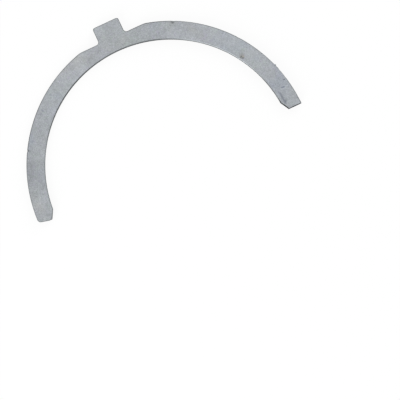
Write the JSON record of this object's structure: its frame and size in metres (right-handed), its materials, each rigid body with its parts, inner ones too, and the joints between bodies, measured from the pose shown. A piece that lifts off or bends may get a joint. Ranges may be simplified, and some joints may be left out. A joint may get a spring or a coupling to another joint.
{
  "type": "thrust washer",
  "caption": "Flat half-ring thrust washer for a crankshaft, with a locating tab on its outer edge, flats beside the tab and tapered lead-ins at both ends.",
  "frame": {"origin": "on the shaft axis, at the running face that the washer lies on", "axes": "+Z along the shaft axis from the running face to the back face, +Y from the axis to the tab"},
  "size_m": [0.124, 0.067, 0.0025],
  "materials": {
    "washer": "satin"
  },
  "bodies": {
    "root": {"thrust_washer": "washer"}
  },
  "joints": []
}
